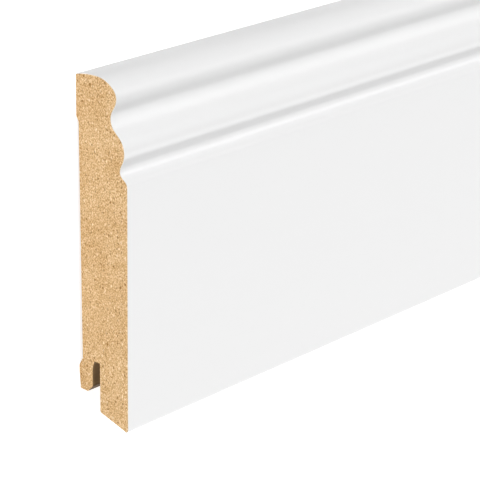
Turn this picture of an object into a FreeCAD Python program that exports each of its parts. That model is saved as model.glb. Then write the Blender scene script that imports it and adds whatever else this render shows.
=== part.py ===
import FreeCAD, Part
import math
import os

# A length of skirting board: a fibreboard core, milled to a moulded head and a clip foot, under a thin
# white foil that covers its top and its front. It lies on its back, as a loose length lies on a floor.
#
# The section is drawn with two distances. "out" is how far a point stands out from the wall plane, which
# the two bearing strips on the back share, and "up" is how high it stands over the lowest point of the
# toe. The wall plane lies on the ground, so out becomes +Z and up becomes +Y, and the length runs along X
# with the middle of the board at the origin. Sizes are in millimetres and angles in degrees.

# Overall sizes
LENGTH = 2400.0
HEIGHT = 96.0
THICKNESS = 19.0
FOIL = 0.2

# Top: eased back corner, gentle fall towards the wall, crown, and the round of the nose.
# A drop is counted down from the crown, and a setback is counted in from the flat front face.
CORE_CORNER_RADIUS = 0.25
TOP_FALL_RADIUS = 29.0
CROWN_SETBACK = 10.8
NOSE_SETBACK = 3.9
NOSE_DROP = 4.45
NOSE_TOP_RADIUS = 2.85
NOSE_UNDER_RADIUS = 4.6

# Hollow under the nose
UPPER_HOLLOW_SETBACK = 6.0
UPPER_HOLLOW_DROP = 10.2
UPPER_HOLLOW_TOP_RADIUS = 3.8
UPPER_HOLLOW_LOW_RADIUS = 3.6

# Roll between the two hollows
ROLL_SETBACK = 1.05
ROLL_DROP = 18.4
ROLL_TOP_RADIUS = 5.3
ROLL_UNDER_RADIUS = 5.3

# Hollow over the flat face, and the rounded upper edge of that face
LOWER_HOLLOW_SETBACK = 2.65
LOWER_HOLLOW_DROP = 23.5
LOWER_HOLLOW_TOP_RADIUS = 3.2
LOWER_HOLLOW_LOW_RADIUS = 1.35
FACE_TOP_DROP = 27.0
FACE_EDGE_RADIUS = 1.8

# The most of the room between a crest and a hollow that their two arcs may take up, and the distance
# under which two points of the section count as one
ARC_SHARE = 0.98
SAME_POINT = 1e-6

# Foot: rounded toe at the front, and an underside that rises towards the wall
CORE_TOE_RADIUS = 0.9
UNDERSIDE_ANGLE = 13.5
HEEL_RADIUS = 0.7

# Clip slot, open downwards, with a tongue between it and the wall
TONGUE_THICKNESS = 5.2
TONGUE_END_UP = 7.0
TONGUE_LEAD_IN_WIDTH = 1.9
TONGUE_LEAD_IN_HEIGHT = 2.1
TONGUE_TAPER = 0.5
SLOT_WIDTH = 2.9
SLOT_CEILING_UP = 16.7
SLOT_CEILING_WIDTH = 2.1
SLOT_SLANT_HEIGHT = 2.2

# Back: a bearing strip at the head and one on the tongue, with a shallow recess between them
HEAD_STRIP_LOW_DROP = 12.5
HEAD_STEP_HEIGHT = 1.3
RECESS_HEAD_DEPTH = 0.85
RECESS_FOOT_DEPTH = 1.35
TONGUE_STRIP_LOW_UP = 12.0
TONGUE_STRIP_HIGH_UP = 13.8
SHOULDER_HEIGHT = 2.3


def on_circle(centre, radius, angle):
    """The point of a circle in the section at an angle, counted from straight out towards up."""
    turn = math.radians(angle)
    return (centre[0] + radius * math.cos(turn), centre[1] + radius * math.sin(turn))


def direction(start, end):
    """The angle at which end is seen from start."""
    return math.degrees(math.atan2(end[1] - start[1], end[0] - start[0]))


def place(point):
    """A point of the section as it lies on the end plane of the board."""
    return FreeCAD.Vector(-LENGTH / 2, point[1] - HEIGHT / 2, point[0])


def straight(start, end):
    return Part.LineSegment(place(start), place(end)).toShape()


def rounded(centre, radius, start_angle, end_angle):
    middle_angle = (start_angle + end_angle) / 2
    angles = (start_angle, middle_angle, end_angle)
    return Part.Arc(*[place(on_circle(centre, radius, angle)) for angle in angles]).toShape()


def ogee(crest, hollow, crest_is_above):
    """The two arcs that join a crest to a hollow, leaning over to one common tangent.

    crest and hollow are (out, up, radius). Both radii give way where the slope is too short for them, so
    that a straight is always left between the two arcs.
    """
    reach = crest[0] - hollow[0]
    rise = abs(crest[1] - hollow[1])
    room = ARC_SHARE * (reach ** 2 + rise ** 2) / (2 * reach)
    fit = min(1.0, room / (crest[2] + hollow[2]))
    crest_radius = crest[2] * fit
    hollow_radius = hollow[2] * fit
    crest_centre = (crest[0] - crest_radius, crest[1])
    hollow_centre = (hollow[0] + hollow_radius, hollow[1])
    across = hollow_centre[0] - crest_centre[0]
    share = (crest_radius + hollow_radius) / math.hypot(across, rise)
    lean = math.degrees(math.atan2(rise, across) - math.acos(share))
    if crest_is_above:
        return [(crest_centre, crest_radius, 0, -lean), (hollow_centre, -hollow_radius, 180 - lean, 180)]
    return [(hollow_centre, -hollow_radius, 180, 180 + lean), (crest_centre, crest_radius, lean, 0)]


def front_arcs():
    """Every arc of the visible face, from the back corner over the nose and down to the toe.

    Each is (centre, radius, start angle, end angle), and the radius of a hollow is negative.
    """
    crown_out = THICKNESS - CROWN_SETBACK
    fall_centre = (crown_out, HEIGHT - TOP_FALL_RADIUS)
    corner_radius = CORE_CORNER_RADIUS + FOIL
    corner_lift = math.sqrt((TOP_FALL_RADIUS - corner_radius) ** 2 - (crown_out - corner_radius) ** 2)
    corner_centre = (corner_radius, fall_centre[1] + corner_lift)
    corner_angle = direction(fall_centre, corner_centre)

    nose_out = THICKNESS - NOSE_SETBACK
    nose_up = HEIGHT - NOSE_DROP
    nose_centre = (nose_out - NOSE_TOP_RADIUS, nose_up)
    crown_run = nose_centre[0] - crown_out
    crown_excess = NOSE_DROP - NOSE_TOP_RADIUS
    crown_radius = (crown_run ** 2 + NOSE_DROP ** 2 - NOSE_TOP_RADIUS ** 2) / (2 * crown_excess)
    crown_centre = (crown_out, HEIGHT - crown_radius)
    nose_angle = direction(crown_centre, nose_centre)

    upper_hollow = (THICKNESS - UPPER_HOLLOW_SETBACK, HEIGHT - UPPER_HOLLOW_DROP)
    roll = (THICKNESS - ROLL_SETBACK, HEIGHT - ROLL_DROP)
    lower_hollow = (THICKNESS - LOWER_HOLLOW_SETBACK, HEIGHT - LOWER_HOLLOW_DROP)
    face_edge = (THICKNESS, HEIGHT - FACE_TOP_DROP, FACE_EDGE_RADIUS)
    toe_radius = CORE_TOE_RADIUS + FOIL
    toe_centre = (THICKNESS - toe_radius, toe_radius)

    arcs = [
        (corner_centre, corner_radius, 180, corner_angle),
        (fall_centre, TOP_FALL_RADIUS, corner_angle, 90),
        (crown_centre, crown_radius, 90, nose_angle),
        (nose_centre, NOSE_TOP_RADIUS, nose_angle, 0),
    ]
    arcs += ogee((nose_out, nose_up, NOSE_UNDER_RADIUS), (*upper_hollow, UPPER_HOLLOW_TOP_RADIUS), True)
    arcs += ogee((*roll, ROLL_TOP_RADIUS), (*upper_hollow, UPPER_HOLLOW_LOW_RADIUS), False)
    arcs += ogee((*roll, ROLL_UNDER_RADIUS), (*lower_hollow, LOWER_HOLLOW_TOP_RADIUS), True)
    arcs += ogee(face_edge, (*lower_hollow, LOWER_HOLLOW_LOW_RADIUS), False)
    arcs.append((toe_centre, toe_radius, 0, -90 - UNDERSIDE_ANGLE))
    return arcs


def front_line(depth):
    """The edges of the visible face at a depth under its surface, with its first and its last point."""
    edges = []
    first = None
    last = None
    for centre, radius, start_angle, end_angle in front_arcs():
        reach = abs(radius - depth)
        start = on_circle(centre, reach, start_angle)
        if last is None:
            first = start
        elif math.dist(last, start) > SAME_POINT:
            edges.append(straight(last, start))
        edges.append(rounded(centre, reach, start_angle, end_angle))
        last = on_circle(centre, reach, end_angle)
    return edges, first, last


def back_corners(toe, head):
    """The corners of the foot and the back, from the toe round to the head, as (point, rounding)."""
    leg_back = TONGUE_THICKNESS + SLOT_WIDTH
    heel_up = toe[1] + (toe[0] - leg_back) * math.tan(math.radians(UNDERSIDE_ANGLE))
    head_strip_low = HEIGHT - HEAD_STRIP_LOW_DROP
    return [
        (toe, 0),
        ((leg_back, heel_up), HEEL_RADIUS),
        ((leg_back, SLOT_CEILING_UP), 0),
        ((leg_back - SLOT_CEILING_WIDTH, SLOT_CEILING_UP), 0),
        ((TONGUE_THICKNESS, SLOT_CEILING_UP - SLOT_SLANT_HEIGHT), 0),
        ((TONGUE_THICKNESS, TONGUE_END_UP + TONGUE_LEAD_IN_HEIGHT), 0),
        ((TONGUE_THICKNESS - TONGUE_LEAD_IN_WIDTH, TONGUE_END_UP), 0),
        ((TONGUE_TAPER, TONGUE_END_UP), 0),
        ((0, TONGUE_STRIP_LOW_UP), 0),
        ((0, TONGUE_STRIP_HIGH_UP), 0),
        ((RECESS_FOOT_DEPTH, TONGUE_STRIP_HIGH_UP + SHOULDER_HEIGHT), 0),
        ((RECESS_HEAD_DEPTH, head_strip_low - HEAD_STEP_HEIGHT), 0),
        ((0, head_strip_low), 0),
        ((0, head[1]), 0),
        (head, 0),
    ]


def corner_line(corners):
    """Straight edges through a row of corners, with an arc at each one that has a rounding."""
    edges = []
    last = corners[0][0]
    for index in range(1, len(corners)):
        corner, radius = corners[index]
        if radius == 0:
            edges.append(straight(last, corner))
            last = corner
            continue
        back = direction(corner, corners[index - 1][0])
        ahead = direction(corner, corners[index + 1][0])
        half = ((ahead - back + 180) % 360 - 180) / 2
        tangent = radius / abs(math.tan(math.radians(half)))
        centre = on_circle(corner, radius / abs(math.sin(math.radians(half))), back + half)
        start = on_circle(corner, tangent, back)
        end = on_circle(corner, tangent, ahead)
        middle = on_circle(centre, radius, back + half + 180)
        edges.append(straight(last, start))
        edges.append(Part.Arc(place(start), place(middle), place(end)).toShape())
        last = end
    return edges


def board(edges):
    """The section inside a ring of edges, drawn out to the full length."""
    section = Part.Face(Part.Wire(edges))
    return section.extrude(FreeCAD.Vector(LENGTH, 0, 0))


def mdf_core():
    edges, head, toe = front_line(FOIL)
    return board(edges + corner_line(back_corners(toe, head)))


def white_foil():
    outer_edges, outer_head, outer_toe = front_line(0)
    inner_edges, inner_head, inner_toe = front_line(FOIL)
    toe_end = straight(outer_toe, inner_toe)
    head_end = straight(inner_head, outer_head)
    return board(outer_edges + [toe_end] + inner_edges[::-1] + [head_end])


os.makedirs("parts", exist_ok=True)
for name, make in (("mdf_core", mdf_core), ("white_foil", white_foil)):
    solid = make()
    solid.exportStep("parts/" + name + ".step")
    box = solid.BoundBox
    print(name, "valid", solid.isValid(), "volume", round(solid.Volume / 1000, 1), "cm3",
          "size", round(box.XLength, 2), round(box.YLength, 2), round(box.ZLength, 2))
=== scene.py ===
# %% [markdown]
# # A length of skirting board
#
# The real thing is one straight length of medium density fibreboard. A moulder cuts its whole section in
# one pass: a rounded nose, two hollows with a roll between them, a flat face, and at the foot a slot that a
# wall clip slides into. A machine then glues a thin white foil over the top and the front. The saw that
# cuts the length leaves both ends raw. The board lies on its back here, as a loose length lies on a floor.

# %% Load the board as it was constructed
import math

import bmesh
import bpy
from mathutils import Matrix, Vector


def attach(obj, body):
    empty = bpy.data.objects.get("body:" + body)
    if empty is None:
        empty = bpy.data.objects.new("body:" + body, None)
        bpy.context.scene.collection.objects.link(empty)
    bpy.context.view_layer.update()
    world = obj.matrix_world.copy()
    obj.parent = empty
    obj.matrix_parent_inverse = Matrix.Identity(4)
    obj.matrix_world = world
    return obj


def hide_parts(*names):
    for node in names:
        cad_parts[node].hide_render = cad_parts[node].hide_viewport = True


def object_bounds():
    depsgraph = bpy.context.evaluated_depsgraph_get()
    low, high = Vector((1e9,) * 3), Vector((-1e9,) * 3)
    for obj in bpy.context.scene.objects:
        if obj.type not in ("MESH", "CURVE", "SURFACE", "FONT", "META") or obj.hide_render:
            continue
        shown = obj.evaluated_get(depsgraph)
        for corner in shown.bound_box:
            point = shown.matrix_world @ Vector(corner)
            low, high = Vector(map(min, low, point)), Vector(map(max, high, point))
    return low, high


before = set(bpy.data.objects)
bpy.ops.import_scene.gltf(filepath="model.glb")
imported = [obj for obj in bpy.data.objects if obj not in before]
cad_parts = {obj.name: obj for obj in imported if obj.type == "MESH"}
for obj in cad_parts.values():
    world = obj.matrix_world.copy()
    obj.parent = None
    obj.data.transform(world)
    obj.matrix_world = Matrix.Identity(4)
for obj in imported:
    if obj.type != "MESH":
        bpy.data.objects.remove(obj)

MILLIMETRE = 0.001

cad_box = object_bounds()
LENGTH, HEIGHT, THICKNESS = [round(side / MILLIMETRE, 1) for side in cad_box[1] - cad_box[0]]
print("board", LENGTH, "x", HEIGHT, "x", THICKNESS, "mm")

# %% [markdown]
# ## The section, as a cutter maker gives it
#
# A moulding is made of a few arcs and the straights between them, so its drawing holds radii, setbacks from
# the flat face and drops from the crown. The same numbers could be read off a mesh, but then nobody could
# change them. Two distances place every point: "out" is how far it stands out from the wall plane, which
# lies on the floor here and so becomes Z, and "up" is how high it stands over the toe, which becomes Y.

# %% Sizes of the moulded head in millimetres
FOIL = 0.2

CORE_CORNER_RADIUS = 0.25
TOP_FALL_RADIUS = 29.0
CROWN_SETBACK = 10.8
NOSE_SETBACK = 3.9
NOSE_DROP = 4.45
NOSE_TOP_RADIUS = 2.85
NOSE_UNDER_RADIUS = 4.6

UPPER_HOLLOW_SETBACK = 6.0
UPPER_HOLLOW_DROP = 10.2
UPPER_HOLLOW_TOP_RADIUS = 3.8
UPPER_HOLLOW_LOW_RADIUS = 3.6

ROLL_SETBACK = 1.05
ROLL_DROP = 18.4
ROLL_TOP_RADIUS = 5.3
ROLL_UNDER_RADIUS = 5.3

LOWER_HOLLOW_SETBACK = 2.65
LOWER_HOLLOW_DROP = 23.5
LOWER_HOLLOW_TOP_RADIUS = 3.2
LOWER_HOLLOW_LOW_RADIUS = 1.35
FACE_TOP_DROP = 27.0
FACE_EDGE_RADIUS = 1.8

print("the moulding takes the upper", FACE_TOP_DROP, "mm of the face")

# %% Sizes of the foot and the back in millimetres
CORE_TOE_RADIUS = 0.9
UNDERSIDE_ANGLE = 13.5  # degrees by which the underside rises from the toe to the wall
HEEL_RADIUS = 0.7

TONGUE_THICKNESS = 5.2
TONGUE_END_UP = 7.0
TONGUE_LEAD_IN_WIDTH = 1.9
TONGUE_LEAD_IN_HEIGHT = 2.1
TONGUE_TAPER = 0.5
SLOT_WIDTH = 2.9
SLOT_CEILING_UP = 16.7
SLOT_CEILING_WIDTH = 2.1
SLOT_SLANT_HEIGHT = 2.2

HEAD_STRIP_LOW_DROP = 12.5
HEAD_STEP_HEIGHT = 1.3
RECESS_HEAD_DEPTH = 0.85
RECESS_FOOT_DEPTH = 1.35
TONGUE_STRIP_LOW_UP = 12.0
TONGUE_STRIP_HIGH_UP = 13.8
SHOULDER_HEIGHT = 2.3

print("the clip slot is", round(SLOT_CEILING_UP - TONGUE_END_UP, 1), "mm deep")

# %% Small helpers for the drawing
def on_circle(centre, radius, angle):
    """The point of a circle at an angle in degrees, counted from straight out towards up."""
    turn = math.radians(angle)
    return (centre[0] + radius * math.cos(turn), centre[1] + radius * math.sin(turn))


def direction(start, end):
    """The angle at which end is seen from start."""
    return math.degrees(math.atan2(end[1] - start[1], end[0] - start[0]))


def on_near_end(point):
    """A point of the section, in metres, on the plane of the near sawn end."""
    return Vector((-LENGTH / 2, point[1] - HEIGHT / 2, point[0])) * MILLIMETRE


crown = on_near_end((THICKNESS - CROWN_SETBACK, HEIGHT))
print("the crown is at", [round(side, 4) for side in crown], "metres")

# %% [markdown]
# ## From crest to hollow
#
# Between a crest and the hollow beside it the surface leans over and back again, in a line that joiners
# call an ogee. Two arcs make it, and one straight that touches both. The lean of that straight follows from
# the four distances and two radii, so it is worked out and never typed in.

# %% The two arcs of an ogee
ARC_SHARE = 0.98  # the most of the room between a crest and a hollow that their two arcs may fill


def ogee(crest, hollow, crest_is_above):
    """The two arcs between a crest and a hollow, which are each given as (out, up, radius)."""
    reach = crest[0] - hollow[0]
    rise = abs(crest[1] - hollow[1])
    room = ARC_SHARE * (reach ** 2 + rise ** 2) / (2 * reach)
    fit = min(1.0, room / (crest[2] + hollow[2]))
    crest_radius = crest[2] * fit
    hollow_radius = hollow[2] * fit
    crest_centre = (crest[0] - crest_radius, crest[1])
    hollow_centre = (hollow[0] + hollow_radius, hollow[1])
    across = hollow_centre[0] - crest_centre[0]
    share = (crest_radius + hollow_radius) / math.hypot(across, rise)
    lean = math.degrees(math.atan2(rise, across) - math.acos(share))
    if crest_is_above:
        return [(crest_centre, crest_radius, 0, -lean), (hollow_centre, -hollow_radius, 180 - lean, 180)]
    return [(hollow_centre, -hollow_radius, 180, 180 + lean), (crest_centre, crest_radius, lean, 0)]


nose_crest = (-NOSE_SETBACK, -NOSE_DROP, NOSE_UNDER_RADIUS)
hollow_under_it = (-UPPER_HOLLOW_SETBACK, -UPPER_HOLLOW_DROP, UPPER_HOLLOW_TOP_RADIUS)
nose_turn = ogee(nose_crest, hollow_under_it, True)[0][3]
print("under the nose the surface turns back by", round(-nose_turn, 1), "degrees")

# %% The arcs of the visible face
def front_arcs():
    """Each arc from the back corner over the nose to the toe: centre, radius, first and last angle.

    The radius of a hollow is negative.
    """
    crown_out = THICKNESS - CROWN_SETBACK
    fall_centre = (crown_out, HEIGHT - TOP_FALL_RADIUS)
    corner_radius = CORE_CORNER_RADIUS + FOIL
    corner_lift = math.sqrt((TOP_FALL_RADIUS - corner_radius) ** 2 - (crown_out - corner_radius) ** 2)
    corner_centre = (corner_radius, fall_centre[1] + corner_lift)
    corner_angle = direction(fall_centre, corner_centre)

    nose = (THICKNESS - NOSE_SETBACK, HEIGHT - NOSE_DROP)
    nose_centre = (nose[0] - NOSE_TOP_RADIUS, nose[1])
    crown_run = nose_centre[0] - crown_out
    crown_excess = NOSE_DROP - NOSE_TOP_RADIUS
    crown_radius = (crown_run ** 2 + NOSE_DROP ** 2 - NOSE_TOP_RADIUS ** 2) / (2 * crown_excess)
    crown_centre = (crown_out, HEIGHT - crown_radius)
    nose_angle = direction(crown_centre, nose_centre)

    upper_hollow = (THICKNESS - UPPER_HOLLOW_SETBACK, HEIGHT - UPPER_HOLLOW_DROP)
    roll = (THICKNESS - ROLL_SETBACK, HEIGHT - ROLL_DROP)
    lower_hollow = (THICKNESS - LOWER_HOLLOW_SETBACK, HEIGHT - LOWER_HOLLOW_DROP)
    face_edge = (THICKNESS, HEIGHT - FACE_TOP_DROP)
    toe_radius = CORE_TOE_RADIUS + FOIL
    toe_centre = (THICKNESS - toe_radius, toe_radius)

    arcs = [
        (corner_centre, corner_radius, 180, corner_angle),
        (fall_centre, TOP_FALL_RADIUS, corner_angle, 90),
        (crown_centre, crown_radius, 90, nose_angle),
        (nose_centre, NOSE_TOP_RADIUS, nose_angle, 0),
    ]
    arcs += ogee((*nose, NOSE_UNDER_RADIUS), (*upper_hollow, UPPER_HOLLOW_TOP_RADIUS), True)
    arcs += ogee((*roll, ROLL_TOP_RADIUS), (*upper_hollow, UPPER_HOLLOW_LOW_RADIUS), False)
    arcs += ogee((*roll, ROLL_UNDER_RADIUS), (*lower_hollow, LOWER_HOLLOW_TOP_RADIUS), True)
    arcs += ogee((*face_edge, FACE_EDGE_RADIUS), (*lower_hollow, LOWER_HOLLOW_LOW_RADIUS), False)
    arcs.append((toe_centre, toe_radius, 0, -90 - UNDERSIDE_ANGLE))
    return arcs


print(len(front_arcs()), "arcs make the visible face")

# %% [markdown]
# ## Drawing with one point
#
# A section can be drawn by hand with a single vertex. Extrude takes it along a straight and Spin takes it
# round an arc, and each leaves its line behind. The vertex starts as a plane that is merged into its
# middle. A curve object could hold the same line, but a spun vertex lands exactly on the arc, and the arcs
# get as many steps as their turn needs.

# %% Straight runs and spun arcs
SPIN_STEP = 5.0  # degrees of an arc that one edge may span
SPIN_AXIS = (1, 0, 0)  # Spin turns clockwise round its axis, so this one turns from out towards up


def start_line(name, point):
    """A new object in edit mode that is one vertex of the section."""
    bpy.ops.object.select_all(action="DESELECT")
    bpy.ops.mesh.primitive_plane_add(size=MILLIMETRE, location=on_near_end(point))
    line = bpy.context.object
    line.name = line.data.name = name
    bpy.ops.object.transform_apply(location=True)
    bpy.ops.object.mode_set(mode="EDIT")
    bpy.ops.mesh.select_mode(type="VERT")
    bpy.ops.mesh.select_all(action="SELECT")
    bpy.ops.mesh.merge(type="CENTER")
    return line


def run_straight(start, end):
    """Extrudes the selected end of the line from start to end."""
    step = on_near_end(end) - on_near_end(start)
    bpy.ops.mesh.extrude_vertices_move(TRANSFORM_OT_translate={"value": step})


def run_arc(centre, turn):
    """Spins the selected end of the line round a centre, by a turn in degrees."""
    steps = math.ceil(abs(turn) / SPIN_STEP)
    bpy.ops.mesh.spin(steps=steps, angle=math.radians(turn), center=on_near_end(centre), axis=SPIN_AXIS)


print("a quarter turn is drawn with", math.ceil(90 / SPIN_STEP), "edges")

# %% The visible face in one run
SAME_POINT = 1e-6


def front_start(depth):
    """The first point of the visible face at a depth under its surface."""
    centre, radius, start_angle, _ = front_arcs()[0]
    return on_circle(centre, radius - depth, start_angle)


def run_front(depth):
    """Draws the visible face at a depth under its surface, and gives the point where it ends."""
    last = front_start(depth)
    for centre, radius, start_angle, end_angle in front_arcs():
        start = on_circle(centre, abs(radius - depth), start_angle)
        if math.dist(last, start) > SAME_POINT:
            run_straight(last, start)
        run_arc(centre, end_angle - start_angle)
        last = on_circle(centre, abs(radius - depth), end_angle)
    return last


print("the foil starts", round(front_start(0)[1], 2), "mm over the toe, at the wall")

# %% [markdown]
# ## Choosing faces and edges
#
# By hand one would click on them. In a script they are chosen by where they are or by how they lie, because
# their numbers change with every edit.

# %% Choosing by place
def choose(piece, kind, fits):
    """Selects those faces, edges or verts of a piece in edit mode that fit, and nothing else."""
    bpy.ops.mesh.select_all(action="DESELECT")
    shape = bmesh.from_edit_mesh(piece.data)
    chosen = [part for part in getattr(shape, kind) if fits(part)]
    for part in chosen:
        part.select_set(True)
    bmesh.update_edit_mesh(piece.data)
    return len(chosen)


def section_place(position):
    """The (out, up) in millimetres of a place on the board, which undoes on_near_end."""
    return position.z / MILLIMETRE, position.y / MILLIMETRE + HEIGHT / 2


flat_top = on_near_end((THICKNESS, HEIGHT - FACE_TOP_DROP))
print("the flat face ends at", [round(side, 2) for side in section_place(flat_top)], "out and up")

# %% [markdown]
# ## The fibreboard core
#
# The core's front follows the foil's inner side, so it is drawn one foil thickness under the visible face.
# Then the line goes on round the toe, up the leg, round the clip slot and the tongue, and up the back with
# its shallow recess, which keeps the board off a wall that isn't flat. The closed line is filled and
# extruded along X, which is what the moulder does to the board.

# %% The corners of the foot and the back
def back_corners(toe, head):
    """The corners of the foot and the back, from the toe round to the head, as (point, rounding)."""
    leg_back = TONGUE_THICKNESS + SLOT_WIDTH
    heel_up = toe[1] + (toe[0] - leg_back) * math.tan(math.radians(UNDERSIDE_ANGLE))
    head_strip_low = HEIGHT - HEAD_STRIP_LOW_DROP
    return [
        (toe, 0),
        ((leg_back, heel_up), HEEL_RADIUS),
        ((leg_back, SLOT_CEILING_UP), 0),
        ((leg_back - SLOT_CEILING_WIDTH, SLOT_CEILING_UP), 0),
        ((TONGUE_THICKNESS, SLOT_CEILING_UP - SLOT_SLANT_HEIGHT), 0),
        ((TONGUE_THICKNESS, TONGUE_END_UP + TONGUE_LEAD_IN_HEIGHT), 0),
        ((TONGUE_THICKNESS - TONGUE_LEAD_IN_WIDTH, TONGUE_END_UP), 0),
        ((TONGUE_TAPER, TONGUE_END_UP), 0),
        ((0, TONGUE_STRIP_LOW_UP), 0),
        ((0, TONGUE_STRIP_HIGH_UP), 0),
        ((RECESS_FOOT_DEPTH, TONGUE_STRIP_HIGH_UP + SHOULDER_HEIGHT), 0),
        ((RECESS_HEAD_DEPTH, head_strip_low - HEAD_STEP_HEIGHT), 0),
        ((0, head_strip_low), 0),
        ((0, head[1]), 0),
        (head, 0),
    ]


print(len(back_corners((THICKNESS, 0), (0, HEIGHT))) - 2, "corners lie between the toe and the head")

# %% Draw the core's outline
def turned(angle):
    """The same angle between -180 and 180 degrees."""
    return (angle + 180) % 360 - 180


def run_corners(corners):
    """Draws straight runs through a row of corners, with an arc at each one that has a rounding."""
    last = corners[0][0]
    for index in range(1, len(corners)):
        corner, radius = corners[index]
        if radius == 0:
            run_straight(last, corner)
            last = corner
            continue
        back = direction(corner, corners[index - 1][0])
        ahead = direction(corner, corners[index + 1][0])
        half = turned(ahead - back) / 2
        tangent = radius / abs(math.tan(math.radians(half)))
        centre = on_circle(corner, radius / abs(math.sin(math.radians(half))), back + half)
        start = on_circle(corner, tangent, back)
        end = on_circle(corner, tangent, ahead)
        run_straight(last, start)
        run_arc(centre, turned(direction(centre, end) - direction(centre, start)))
        last = end


head = front_start(FOIL)
core = start_line("fibreboard_core", head)
toe = run_front(FOIL)
run_corners(back_corners(toe, head))
print("the core's outline has", len(bmesh.from_edit_mesh(core.data).verts), "points")

# %% Fill the outline and run it out to the full length
bpy.ops.mesh.select_all(action="SELECT")
bpy.ops.mesh.remove_doubles(threshold=SAME_POINT)
bpy.ops.mesh.edge_face_add()
bpy.ops.mesh.extrude_region_move(TRANSFORM_OT_translate={"value": (LENGTH * MILLIMETRE, 0, 0)})
bpy.ops.mesh.select_all(action="SELECT")
bpy.ops.mesh.normals_make_consistent(inside=False)
print("the core has", len(bmesh.from_edit_mesh(core.data).faces), "faces")

# %% [markdown]
# A milled corner of fibreboard is never as sharp as a drawing. Its arris is broken by a tenth of a
# millimetre, and that is what catches the light along the foot and the back. The bevel takes only the long
# corners that the foil doesn't cover.

# %% Break the long corners
ARRIS = 0.12
ARRIS_SEGMENTS = 2
CORNER_LEAST = 20.0  # degrees between two faces that make a corner


def runs_along(edge):
    """Whether an edge runs along the board."""
    return abs(edge.verts[0].co.x - edge.verts[1].co.x) > MILLIMETRE


def is_bare_corner(edge):
    """Whether an edge runs along the board, turns a corner, and doesn't touch the foil."""
    if not runs_along(edge) or math.degrees(edge.calc_face_angle()) < CORNER_LEAST:
        return False
    place = section_place(edge.verts[0].co)
    return min(math.dist(place, toe), math.dist(place, head), math.dist(place, (0, head[1]))) > FOIL


corners_found = choose(core, "edges", is_bare_corner)
bpy.ops.mesh.bevel(offset=ARRIS * MILLIMETRE, segments=ARRIS_SEGMENTS, affect="EDGES")
print(corners_found, "long corners are broken")

# %% [markdown]
# ## The white foil
#
# The real foil is a printed and lacquered paper, a fifth of a millimetre thick, pressed on with rollers. It
# is modelled the way it is made: the visible line is drawn out into a thin sheet, and Solidify gives it its
# thickness on the inner side only, so that the outside keeps its exact size.

# %% Draw the foil as a thin sheet
SQUARELY = 0.9  # the least part of its normal that a face turns to where it is said to look


def is_inside_out(face):
    """Whether a face on the front half of the board looks squarely at the wall."""
    out, _ = section_place(face.calc_center_median())
    return out > THICKNESS / 2 and face.normal.z < -SQUARELY


bpy.ops.object.mode_set(mode="OBJECT")
foil = start_line("white_face_foil", front_start(0))
run_front(0)
bpy.ops.mesh.select_all(action="SELECT")
bpy.ops.mesh.extrude_region_move(TRANSFORM_OT_translate={"value": (LENGTH * MILLIMETRE, 0, 0)})
bpy.ops.mesh.select_all(action="SELECT")
bpy.ops.mesh.remove_doubles(threshold=SAME_POINT)
if choose(foil, "faces", is_inside_out) > 0:
    bpy.ops.mesh.select_all(action="SELECT")
    bpy.ops.mesh.flip_normals()
print(choose(foil, "faces", is_inside_out), "faces of the sheet are inside out")

# %% Give the foil its thickness
bpy.ops.object.mode_set(mode="OBJECT")
thicken = foil.modifiers.new("foil thickness", "SOLIDIFY")
thicken.thickness = FOIL * MILLIMETRE
thicken.offset = -1
thicken.use_even_offset = True
bpy.ops.object.modifier_apply(modifier=thicken.name)
print("the foil has", len(foil.data.polygons), "faces")

# %% [markdown]
# ## Smooth arcs, crisp corners
#
# The spun arcs are shaded smooth, and every edge that turns by more than the limit stays crisp: the sawn
# ends, the corners of the slot and the steps on the back.

# %% Shading
SMOOTH_LIMIT = 25.0  # degrees

for piece in (core, foil):
    bpy.ops.object.select_all(action="DESELECT")
    piece.select_set(True)
    bpy.context.view_layer.objects.active = piece
    bpy.ops.object.shade_smooth_by_angle(angle=math.radians(SMOOTH_LIMIT))
    print(piece.name, "keeps edges of more than", SMOOTH_LIMIT, "degrees crisp")

# %% [markdown]
# ## Helpers for the materials
#
# Every pattern here is made from noise that is laid out in the board's own coordinates, in metres, so it
# sits still on the board from every side. The helpers keep one step of a node tree on one line, and take
# the size of a pattern in millimetres.

# %% A material and its noise
NOISE_LOW = 0.3  # soft noise seldom falls below this
NOISE_MIDDLE = 0.5
NOISE_HIGH = 0.7  # and seldom rises over this


def start_material(name):
    """A new material with its node tree, its surface shader and its coordinates."""
    material = bpy.data.materials.new(name)
    material.use_nodes = True
    tree = material.node_tree
    shader = tree.nodes["Principled BSDF"]
    where = tree.nodes.new("ShaderNodeTexCoord").outputs["Object"]
    return material, tree, shader, where


def stretched(tree, where, stretch):
    """The coordinates with each axis stretched, so that a pattern runs further along it."""
    mapping = tree.nodes.new("ShaderNodeMapping")
    mapping.inputs["Scale"].default_value = [1 / share for share in stretch]
    tree.links.new(where, mapping.inputs["Vector"])
    return mapping.outputs["Vector"]


def noise(tree, where, size, detail=2.0, raggedness=0.5):
    """Soft noise whose blotches are about size millimetres wide, from 0 to 1."""
    texture = tree.nodes.new("ShaderNodeTexNoise")
    texture.inputs["Scale"].default_value = 1 / (size * MILLIMETRE)
    texture.inputs["Detail"].default_value = detail
    texture.inputs["Roughness"].default_value = raggedness
    tree.links.new(where, texture.inputs["Vector"])
    return texture.outputs[0]


# %% Spreading a value, and sums of values
def spread(tree, value, low, high, to_low=0.0, to_high=1.0):
    """The value between low and high, spread out between two new ends."""
    node = tree.nodes.new("ShaderNodeMapRange")
    node.inputs["From Min"].default_value = low
    node.inputs["From Max"].default_value = high
    node.inputs["To Min"].default_value = to_low
    node.inputs["To Max"].default_value = to_high
    tree.links.new(value, node.inputs["Value"])
    return node.outputs["Result"]


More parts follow.
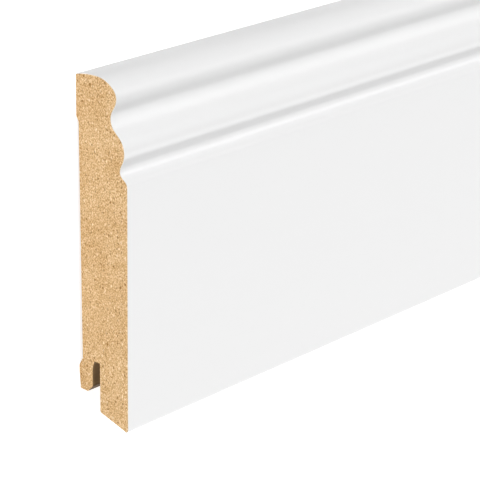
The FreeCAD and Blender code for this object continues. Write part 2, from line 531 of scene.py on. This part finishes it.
def combine(tree, operation, first, second):
    """A sum, product or other operation on two values, either of which may be a plain number."""
    node = tree.nodes.new("ShaderNodeMath")
    node.operation = operation
    for value, socket in ((first, node.inputs[0]), (second, node.inputs[1])):
        if isinstance(value, (int, float)):
            socket.default_value = value
        else:
            tree.links.new(value, socket)
    return node.outputs["Value"]


# %% Ramps and blends of colour
def colours(tree, value, *stops):
    """A colour ramp with two or more stops of (position, colour)."""
    ramp = tree.nodes.new("ShaderNodeValToRGB")
    for position, _ in stops[1:-1]:
        ramp.color_ramp.elements.new(position)
    for element, (position, colour) in zip(ramp.color_ramp.elements, stops):
        element.position = position
        element.color = (*colour, 1)
    tree.links.new(value, ramp.inputs["Fac"])
    return ramp.outputs["Color"]


def mixed(tree, share, first, second, blend="MIX"):
    """A blend of two colours. The share and the colours are each a socket or a plain value."""
    node = tree.nodes.new("ShaderNodeMix")
    node.data_type = "RGBA"
    node.blend_type = blend
    sockets = [socket for socket in node.inputs if socket.enabled]
    for value, socket in zip((share, first, second), sockets):
        if isinstance(value, tuple):
            socket.default_value = (*value, 1)
        elif isinstance(value, float):
            socket.default_value = value
        else:
            tree.links.new(value, socket)
    return [socket for socket in node.outputs if socket.enabled][0]


# %% Bumps, and dressing a shader
def bumpy(tree, height, distance):
    """A bump from a height between 0 and 1, where 1 stands distance millimetres proud."""
    node = tree.nodes.new("ShaderNodeBump")
    node.inputs["Distance"].default_value = distance * MILLIMETRE
    tree.links.new(height, node.inputs["Height"])
    return node.outputs["Normal"]


def dress(material, tree, shader, colour, roughness, bump, specular):
    """Puts a colour, a roughness, a bump and a plain specular level on a material's shader."""
    tree.links.new(colour, shader.inputs["Base Color"])
    tree.links.new(roughness, shader.inputs["Roughness"])
    tree.links.new(bump, shader.inputs["Normal"])
    shader.inputs["Specular IOR Level"].default_value = specular
    print(material.name, "is made of", len(tree.nodes), "nodes")


# %% [markdown]
# ## Raw fibreboard
#
# Medium density fibreboard is fine wood fibre pressed with resin. A sawn end has no layers and no grain,
# only a close speckle of lighter and darker fibre about a third of a millimetre across, with ragged specks
# of dark bark and of pale fibre. The press lays the fibres flat, so all of them are a little longer along
# the board's faces than through its thickness. A photograph could be wrapped on, but noise stays sharp at
# any distance and has no seams. Fine noise makes the speckle, a wide one makes the soft clouds, and
# scattered points make the specks.

# %% Ragged specks
SPECK_CORE = 0.6  # the share of a speck's radius that has its full colour
SPECK_RAG = 0.4  # how far its rim runs in and out, as a share of its radius
SPECK_FAINTEST = 0.2  # the faintest speck, as a share of the strongest
LOT_LOW = 0.2  # the lot that each speck draws, from 0 to 1, makes it the faintest below this
LOT_HIGH = 0.8  # and the strongest over this


def specks(tree, where, spacing, radius, strength):
    """Ragged specks about spacing millimetres apart: at most strength in each, and 0 between them."""
    texture = tree.nodes.new("ShaderNodeTexVoronoi")
    texture.inputs["Scale"].default_value = 1 / (spacing * MILLIMETRE)
    tree.links.new(where, texture.inputs["Vector"])
    rim = radius / spacing
    rag_reach = SPECK_RAG * rim
    rag = spread(tree, noise(tree, where, radius), NOISE_LOW, NOISE_HIGH, -rag_reach, rag_reach)
    distance = combine(tree, "ADD", texture.outputs["Distance"], rag)
    speck = spread(tree, distance, SPECK_CORE * rim, rim, strength, 0.0)
    share = spread(tree, texture.outputs["Color"], LOT_LOW, LOT_HIGH, SPECK_FAINTEST, 1.0)
    return combine(tree, "MULTIPLY", speck, share)


# %% The colour of fibreboard
FIBRE_DARK = (0.42, 0.212, 0.060)
FIBRE_MIDDLE = (0.712, 0.458, 0.222)
FIBRE_LIGHT = (0.97, 0.75, 0.47)
BARK = (0.32, 0.15, 0.035)
PALE_FIBRE = (1.0, 0.80, 0.55)

FIBRE_SIZE = 0.32
FIBRE_DETAIL = 1.5
FIBRE_RAGGEDNESS = 0.6
FIBRE_LIE = 1.45  # how much longer the fibres are along the board's faces than through its thickness
SPECKLE_REACH = 0.222  # how far from its middle the noise is spread over the whole ramp of colours
CLOUD_SIZE = 7.0
CLOUD_STRENGTH = 0.03
BARK_SPACING = 1.2
BARK_RADIUS = 0.32
BARK_STRENGTH = 1.0
PALE_SPACING = 1.3
PALE_RADIUS = 0.30
PALE_STRENGTH = 0.9


def fibre_colour(tree, where, contrast):
    """The speckled colour of fibreboard, and the speckle itself from 0 to 1."""
    lying = stretched(tree, where, (FIBRE_LIE, FIBRE_LIE, 1))
    speckle = noise(tree, lying, FIBRE_SIZE, FIBRE_DETAIL, FIBRE_RAGGEDNESS)
    cloud = noise(tree, where, CLOUD_SIZE)
    drift = spread(tree, cloud, NOISE_LOW, NOISE_HIGH, -CLOUD_STRENGTH, CLOUD_STRENGTH)
    tone = combine(tree, "ADD", speckle, drift)
    reach = SPECKLE_REACH / contrast
    tone = spread(tree, tone, NOISE_MIDDLE - reach, NOISE_MIDDLE + reach)
    base = colours(tree, tone, (0.0, FIBRE_DARK), (0.5, FIBRE_MIDDLE), (1.0, FIBRE_LIGHT))
    pale = specks(tree, lying, PALE_SPACING, PALE_RADIUS, PALE_STRENGTH * contrast)
    bark = specks(tree, lying, BARK_SPACING, BARK_RADIUS, BARK_STRENGTH * contrast)
    base = mixed(tree, pale, base, PALE_FIBRE)
    return mixed(tree, bark, base, BARK), tone


print("about", round(THICKNESS / FIBRE_SIZE), "fibres lie through the thickness of the board")

# %% Sawn ends
SAWN_CONTRAST = 1.0
SAWN_RELIEF = 0.03
SAWN_ROUGHNESS = (0.95, 0.8)  # of its dark fibres, which lie deeper, and of its light ones
SAWN_SPECULAR = 0.25


def sawn_fibreboard():
    """The raw fibreboard of the sawn ends."""
    material, tree, shader, where = start_material("sawn_fibreboard")
    colour, tone = fibre_colour(tree, where, SAWN_CONTRAST)
    roughness = spread(tree, tone, 0, 1, *SAWN_ROUGHNESS)
    dress(material, tree, shader, colour, roughness, bumpy(tree, tone, SAWN_RELIEF), SAWN_SPECULAR)
    return material


sawn = sawn_fibreboard()

# %% [markdown]
# ## Milled fibreboard
#
# The cutters of the moulder run along the board, so the back, the foot and the tongue are smoother than the
# sawn ends and carry faint streaks along their length. The noise for the streaks is the same noise with its
# coordinates stretched along X.

# %% Milled back and foot
STREAK_SIZE = 0.9
STREAK_LENGTH = 60.0  # how many times longer than wide the streaks are
STREAK_DETAIL = 3.0
STREAK_RAGGEDNESS = 0.6
STREAK_RELIEF = 0.02
MILLED_CONTRAST = 0.5  # of the sawn end's speckle
MILLED_TONE = (0.93, 0.90, 0.87)  # multiplies the colour in the darkest streaks
MILLED_ROUGHNESS = (0.85, 0.7)  # in its darkest streaks and in its palest ones
MILLED_SPECULAR = 0.3


def milled_colour(tree, where):
    """The colour of a milled face, and its streaks from 0 to 1."""
    base, _ = fibre_colour(tree, where, MILLED_CONTRAST)
    along = stretched(tree, where, (STREAK_LENGTH, 1, 1))
    streaks = noise(tree, along, STREAK_SIZE, STREAK_DETAIL, STREAK_RAGGEDNESS)
    tint = colours(tree, streaks, (NOISE_LOW, MILLED_TONE), (NOISE_HIGH, (1.0, 1.0, 1.0)))
    return mixed(tree, 1.0, base, tint, "MULTIPLY"), streaks


def milled_fibreboard():
    """The smooth raw fibreboard of the back and the foot."""
    material, tree, shader, where = start_material("milled_fibreboard")
    colour, streaks = milled_colour(tree, where)
    roughness = spread(tree, streaks, NOISE_LOW, NOISE_HIGH, *MILLED_ROUGHNESS)
    dress(material, tree, shader, colour, roughness, bumpy(tree, streaks, STREAK_RELIEF), MILLED_SPECULAR)
    return material


milled = milled_fibreboard()

# %% [markdown]
# ## The scorched and shaded slot
#
# The clip slot is cut by a thin blade that runs hot in its own dust, so its walls come out dark brown, and
# their colour also holds painted shade of the narrow slot. The lead-in at its mouth is the darkest, and
# that is painted shade. The leg beside it fades to the plain milled colour, where the blade's sides no
# longer rub and the painted shade of the slot ends.

# %% Slot walls
# The slot walls' colour is partly the blade's scorch and partly painted shade of the narrow slot.
SCORCH_AND_SHADE = (0.235, 0.151, 0.075)
SCORCH_AND_SHADE_LIFT = 1.25  # how much lighter the palest streaks of the scorch and painted shade are
# The lead-in's colour is painted shade, darker than the walls.
LEAD_IN_PAINTED_SHADE = (0.115, 0.074, 0.037)
LEAD_IN_FADE = 0.3  # millimetres over the lead-in within which its painted shade ends
SCORCH_AND_SHADE_FROM_UP = 4.5  # the height on the leg at which the scorch and painted shade begin
SCORCH_AND_SHADE_FULL_UP = 6.5  # and the height from which it is full
SCORCHED_ROUGHNESS = (0.75, 0.6)


def risen(tree, where, low_up, high_up):
    """0 at one height over the toe and below it, and 1 at another and over it."""
    axes = tree.nodes.new("ShaderNodeSeparateXYZ")
    tree.links.new(where, axes.inputs["Vector"])
    return spread(tree, axes.outputs["Y"], on_near_end((0, low_up)).y, on_near_end((0, high_up)).y)


def scorched_and_shaded_fibreboard():
    """The fibreboard of the clip slot: dark brown from its scorch and from painted shade."""
    material, tree, shader, where = start_material("scorched_and_shaded_fibreboard")
    base, streaks = milled_colour(tree, where)
    pale_scorch_and_shade = tuple(SCORCH_AND_SHADE_LIFT * part for part in SCORCH_AND_SHADE)
    lead_in_top = TONGUE_END_UP + TONGUE_LEAD_IN_HEIGHT
    over_lead_in = risen(tree, where, lead_in_top, lead_in_top + LEAD_IN_FADE)
    # the streaked colour of the walls, partly scorch and partly painted shade
    burnt_and_shaded = colours(tree, streaks, (NOISE_LOW, SCORCH_AND_SHADE), (NOISE_HIGH, pale_scorch_and_shade))
    # the lead-in gets painted shade, up to the top of the lead-in
    burnt_and_shaded = mixed(tree, over_lead_in, LEAD_IN_PAINTED_SHADE, burnt_and_shaded)
    # darker up the leg into the slot: scorch and painted shade
    colour = mixed(tree, risen(tree, where, SCORCH_AND_SHADE_FROM_UP, SCORCH_AND_SHADE_FULL_UP), base, burnt_and_shaded)
    roughness = spread(tree, streaks, NOISE_LOW, NOISE_HIGH, *SCORCHED_ROUGHNESS)
    dress(material, tree, shader, colour, roughness, bumpy(tree, streaks, STREAK_RELIEF), MILLED_SPECULAR)
    return material


scorched_and_shaded = scorched_and_shaded_fibreboard()

# %% [markdown]
# ## The satin foil
#
# The lacquered paper is plain white and satin. Up close it has a very fine pebble from the press rollers
# and the faint texture of the fibre under it, and its gloss varies by a few hundredths. Those are far too
# small to model, so they are bump and roughness. Where the saw cuts through the foil, its paper shows,
# which is dull and a little warmer than the lacquered face.

# %% The foil's face
FOIL_WHITE = (0.86, 0.86, 0.86)
FOIL_WHITE_LOW = (0.857, 0.857, 0.857)  # where the waves of the fibre under it lie low
PEBBLE_SIZE = 0.5
PEBBLE_DETAIL = 1.0
PEBBLE_RELIEF = 0.004
TELEGRAPH_SIZE = 6.0  # a finisher says that the fibre telegraphs through the foil in these waves
TELEGRAPH_LENGTH = 6.0  # how many times longer the waves are along the board
TELEGRAPH_RELIEF = 0.012
FOIL_ROUGHNESS = (0.46, 0.54)
FOIL_SPECULAR = 0.4


def satin_white():
    """The lacquered face of the foil."""
    material, tree, shader, where = start_material("satin_white_foil")
    pebble = noise(tree, where, PEBBLE_SIZE, PEBBLE_DETAIL)
    telegraph = noise(tree, stretched(tree, where, (TELEGRAPH_LENGTH, 1, 1)), TELEGRAPH_SIZE)
    colour = colours(tree, telegraph, (NOISE_LOW, FOIL_WHITE_LOW), (NOISE_HIGH, FOIL_WHITE))
    roughness = spread(tree, telegraph, NOISE_LOW, NOISE_HIGH, *FOIL_ROUGHNESS)
    waves = combine(tree, "MULTIPLY", telegraph, TELEGRAPH_RELIEF / PEBBLE_RELIEF)
    height = combine(tree, "ADD", pebble, waves)
    dress(material, tree, shader, colour, roughness, bumpy(tree, height, PEBBLE_RELIEF), FOIL_SPECULAR)
    return material


satin = satin_white()

# %% The foil's cut edge
PAPER_EDGE = (0.80, 0.74, 0.66)
PAPER_EDGE_ROUGHNESS = 0.8
FRAY_SIZE = 0.4
FRAY_CONTRAST = 0.15  # how much darker and lighter than its paper the frayed edge gets


def paper_edge():
    """The paper that shows in the foil's cut edge."""
    material, tree, shader, where = start_material("foil_cut_edge")
    low = tuple((1 - FRAY_CONTRAST) * part for part in PAPER_EDGE)
    high = tuple((1 + FRAY_CONTRAST) * part for part in PAPER_EDGE)
    colour = colours(tree, noise(tree, where, FRAY_SIZE), (NOISE_LOW, low), (NOISE_HIGH, high))
    tree.links.new(colour, shader.inputs["Base Color"])
    shader.inputs["Roughness"].default_value = PAPER_EDGE_ROUGHNESS
    print(material.name, "is made of", len(tree.nodes), "nodes")
    return material


cut_edge = paper_edge()

# %% [markdown]
# ## Each surface gets its finish
#
# One piece can hold several materials. The faces are chosen the same way as before, by how they lie and
# where they are, and each choice is given a material slot.

# %% Choosing faces and giving them a material
def edit(piece):
    """Goes into edit mode on one piece, choosing by faces."""
    bpy.ops.object.select_all(action="DESELECT")
    piece.select_set(True)
    bpy.context.view_layer.objects.active = piece
    bpy.ops.object.mode_set(mode="EDIT")
    bpy.ops.mesh.select_mode(type="FACE")


def give(piece, material, fits):
    """Puts a material on the faces of a piece that fit."""
    piece.data.materials.append(material)
    piece.active_material_index = len(piece.data.materials) - 1
    found = choose(piece, "faces", fits)
    bpy.ops.object.material_slot_assign()
    print(piece.name, "has", material.name, "on", found, "faces")


def on_any_side(face):
    """True of every face."""
    return True


def on_sawn_end(face):
    """Whether a face is part of a sawn end."""
    return abs(face.normal.x) > SQUARELY


# %% Give the faces their materials
SLOT_MARGIN = 0.01  # millimetres by which a face may lie outside the slot's drawing and still be its wall


def in_slot(face):
    """Whether a face is a wall of the clip slot or of its lead-in."""
    out, up = section_place(face.calc_center_median())
    slot_back = TONGUE_THICKNESS - TONGUE_LEAD_IN_WIDTH
    slot_front = TONGUE_THICKNESS + SLOT_WIDTH + SLOT_MARGIN
    is_inside = slot_back < out < slot_front and TONGUE_END_UP < up < SLOT_CEILING_UP + SLOT_MARGIN
    return is_inside and not on_sawn_end(face)


edit(core)
give(core, milled, on_any_side)
give(core, sawn, on_sawn_end)
give(core, scorched_and_shaded, in_slot)
bpy.ops.object.mode_set(mode="OBJECT")
edit(foil)
give(foil, satin, on_any_side)
give(foil, cut_edge, on_sawn_end)
bpy.ops.object.mode_set(mode="OBJECT")

# %% [markdown]
# ## A map of each surface
#
# These materials need no map, because their noise is laid out in the board's own coordinates. A model that
# leaves Blender does need one: its colours are baked into one square picture for each piece. An automatic
# unwrap would give a sawn end only its small share of a surface 2.4 metres long, and its speckle would blur
# away. So the map is laid out here: a wide band for each sawn end, and over the two bands the long faces
# side by side, in their order round the board, squeezed along their length where little changes.

# %% The long faces in their order
def middle_up(face):
    """How high the middle of a face stands over the toe, in millimetres."""
    return section_place(face.calc_center_median())[1]


def edge_out(edge):
    """How far a long edge stands out from the wall plane, in millimetres."""
    return section_place(edge.verts[0].co)[0]


def round_the_board(shape):
    """The long faces in their order round the board, each with the edge where it starts.

    The lowest face comes first, because Blender numbers the faces differently from run to run.
    """
    first = face = min((face for face in shape.faces if not on_sawn_end(face)), key=middle_up)
    edge = min(filter(runs_along, face.edges), key=edge_out)
    ring = []
    while not ring or face != first:
        ring.append((face, edge))
        edge = next(other for other in face.edges if runs_along(other) and other != edge)
        face = next(other for other in edge.link_faces if other != face)
    return ring


# %% Lay out the maps
MAP_NAME = "OFBake"  # the export bakes through the map of this name
MAP_EDGE = 0.01  # this margin, the bands and their gaps are shares of the map's side
END_BAND = 0.19
BAND_GAP = 0.015


def across_map(share):
    """A share of a length, from 0 to 1, as a place between the two margins of the map."""
    return MAP_EDGE + share * (1 - 2 * MAP_EDGE)


def lay_out(piece):
    """Gives a piece a map with a band for each sawn end and one for all its long faces."""
    edit(piece)
    shape = bmesh.from_edit_mesh(piece.data)
    places = shape.loops.layers.uv.new(MAP_NAME)
    for face in filter(on_sawn_end, shape.faces):
        low = MAP_EDGE if face.normal.x < 0 else MAP_EDGE + END_BAND + BAND_GAP
        for corner in face.loops:
            out, up = section_place(corner.vert.co)
            corner[places].uv = (across_map(up / HEIGHT), low + END_BAND * out / THICKNESS)
    ring = round_the_board(shape)
    low = MAP_EDGE + 2 * (END_BAND + BAND_GAP)
    room = (1 - MAP_EDGE - low) / sum(face.calc_area() for face, _ in ring)
    for face, start in ring:
        high = low + room * face.calc_area()
        for corner in face.loops:
            along = corner.vert.co.x / (LENGTH * MILLIMETRE) + 0.5
            corner[places].uv = (across_map(along), low if corner.vert in start.verts else high)
        low = high
    bmesh.update_edit_mesh(piece.data)
    bpy.ops.object.mode_set(mode="OBJECT")
    print("the map of", piece.name, "has", len(ring), "long faces and ends at", round(low, 4))


lay_out(core)
lay_out(foil)

# %% [markdown]
# ## Put the pieces in place of the plainer solids
#
# Both pieces stand exactly where the constructed board has them, ride on its one body, and take the place
# of the plainer solids in the picture.

# %% Hand the pieces to the frame
for piece, node, slot in ((core, "mdf_core", "mdf"), (foil, "white_foil", "foil")):
    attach(piece, "root")
    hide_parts(node)
    print(piece.name, "stands for", node)

# %% [markdown]
# ## A plain studio
#
# The floor is a pale plane that shows white to the camera, and still takes the soft shadow of the board.
# The light is plain too: a faint even sky, a broad lamp over the front of the board and towards its head,
# one at each end, which shows the sawn fibreboard in its own colour, and one from the foot. That last one
# stands so low that the edge of the flat face keeps it out of the hollows: it lifts the flat face and
# leaves the lines under the nose and the roll dark. The low lamps would glare on the foil when one looks
# along the board, so reflections don't show them.

# %% What the camera and reflections see
WHITE = (1, 1, 1, 1)


def seen_directly(tree):
    """1 for rays from the camera, a reflection or a clear material, and 0 for rays that carry light."""
    rays = tree.nodes.new("ShaderNodeLightPath").outputs
    glossy_or_clear = combine(tree, "MAXIMUM", rays["Is Glossy Ray"], rays["Is Transmission Ray"])
    return combine(tree, "MAXIMUM", rays["Is Camera Ray"], glossy_or_clear)


# %% Floor
FLOOR_SIZE = 40.0  # metres
FLOOR_COLOUR = (0.7, 0.7, 0.7)
FLOOR_GLOW = 0.8  # with the light that falls on it, this makes the floor white in the picture

bpy.ops.object.select_all(action="DESELECT")
bpy.ops.mesh.primitive_plane_add(size=FLOOR_SIZE, location=(0, 0, 0))
floor = bpy.context.object
floor.name = floor.data.name = "studio_floor"

floor_material = bpy.data.materials.new("pale_floor")
floor_material.use_nodes = True
floor_tree = floor_material.node_tree
floor_shader = floor_tree.nodes["Principled BSDF"]
floor_shader.inputs["Base Color"].default_value = (*FLOOR_COLOUR, 1)
floor_shader.inputs["Roughness"].default_value = 1.0
floor_shader.inputs["Specular IOR Level"].default_value = 0.0
floor_shader.inputs["Emission Color"].default_value = WHITE
glow = combine(floor_tree, "MULTIPLY", seen_directly(floor_tree), FLOOR_GLOW)
floor_tree.links.new(glow, floor_shader.inputs["Emission Strength"])
floor.data.materials.append(floor_material)
print(floor.name, "is", FLOOR_SIZE, "metres wide")

# %% Sky
SKY_LEVEL = 0.04  # of the light that falls on the board, where 1 is white

world = bpy.data.worlds.new("studio_sky")
bpy.context.scene.world = world
world.use_nodes = True
sky = world.node_tree.nodes["Background"]
sky.inputs["Color"].default_value = WHITE
level = spread(world.node_tree, seen_directly(world.node_tree), 0, 1, SKY_LEVEL, 1.0)
world.node_tree.links.new(level, sky.inputs["Strength"])
print("the sky lights the board to", SKY_LEVEL, "and shows white")

# %% Lamps
FRONT_LEVEL = 0.80
FRONT_TILT = 26  # degrees from straight over the flat face towards the head
FRONT_SOFTNESS = 40.0
END_LEVEL = 0.68
END_RAISED = 6.0
END_SOFTNESS = 20.0
FOOT_LEVEL = 0.74
FOOT_RAISED = 8.6
FOOT_SOFTNESS = 3.0


def add_sun(name, side, raised, level, softness, is_reflected):
    """A sun that lights a white surface facing it to the given level.

    side points at the sun along the floor, raised is how many degrees it stands over that, softness is how
    many degrees wide it is, and is_reflected says whether glossy surfaces show it.
    """
    raised = math.radians(raised)
    towards = Vector(side) * math.cos(raised) + Vector((0, 0, math.sin(raised)))
    bpy.ops.object.light_add(type="SUN", location=towards)
    lamp = bpy.context.object
    lamp.name = lamp.data.name = name
    lamp.rotation_euler = towards.to_track_quat("Z", "Y").to_euler()
    lamp.data.energy = level * math.pi
    lamp.data.angle = math.radians(softness)
    lamp.visible_glossy = is_reflected
    print(name, "shines from", [round(share, 2) for share in towards])


add_sun("front_sun", (0, 1, 0), 90 - FRONT_TILT, FRONT_LEVEL, FRONT_SOFTNESS, True)
add_sun("near_end_sun", (-1, 0, 0), END_RAISED, END_LEVEL, END_SOFTNESS, False)
add_sun("far_end_sun", (1, 0, 0), END_RAISED, END_LEVEL, END_SOFTNESS, False)
add_sun("foot_sun", (0, -1, 0), FOOT_RAISED, FOOT_LEVEL, FOOT_SOFTNESS, False)

# %% [markdown]
# ## The camera
#
# The board is photographed with a long lens from beside its near end, so that the section shows and the
# length runs away to the right. The place and the turn come from the photograph's vanishing points.

# %% Camera
LENS = 158.34  # millimetres, on the 36 mm wide sensor that Blender starts with
CAMERA_PLACE = (-1537.88, 208.84, 381.40)  # millimetres
CAMERA_TURN = (-23.129, -45.880, 1.3828)  # degrees
CLIP_START = 0.01  # metres
CLIP_END = 200.0

bpy.ops.object.camera_add(location=Vector(CAMERA_PLACE) * MILLIMETRE)
camera = bpy.context.object
camera.name = "photo_camera"
camera.rotation_euler = [math.radians(turn) for turn in CAMERA_TURN]
camera.data.lens = LENS
camera.data.clip_start = CLIP_START
camera.data.clip_end = CLIP_END
bpy.context.scene.camera = camera
bpy.context.scene.view_settings.view_transform = "Standard"
camera_distance = (camera.location - on_near_end((0, HEIGHT))).length
print(camera.name, "is", round(camera_distance, 3), "metres from the near end")
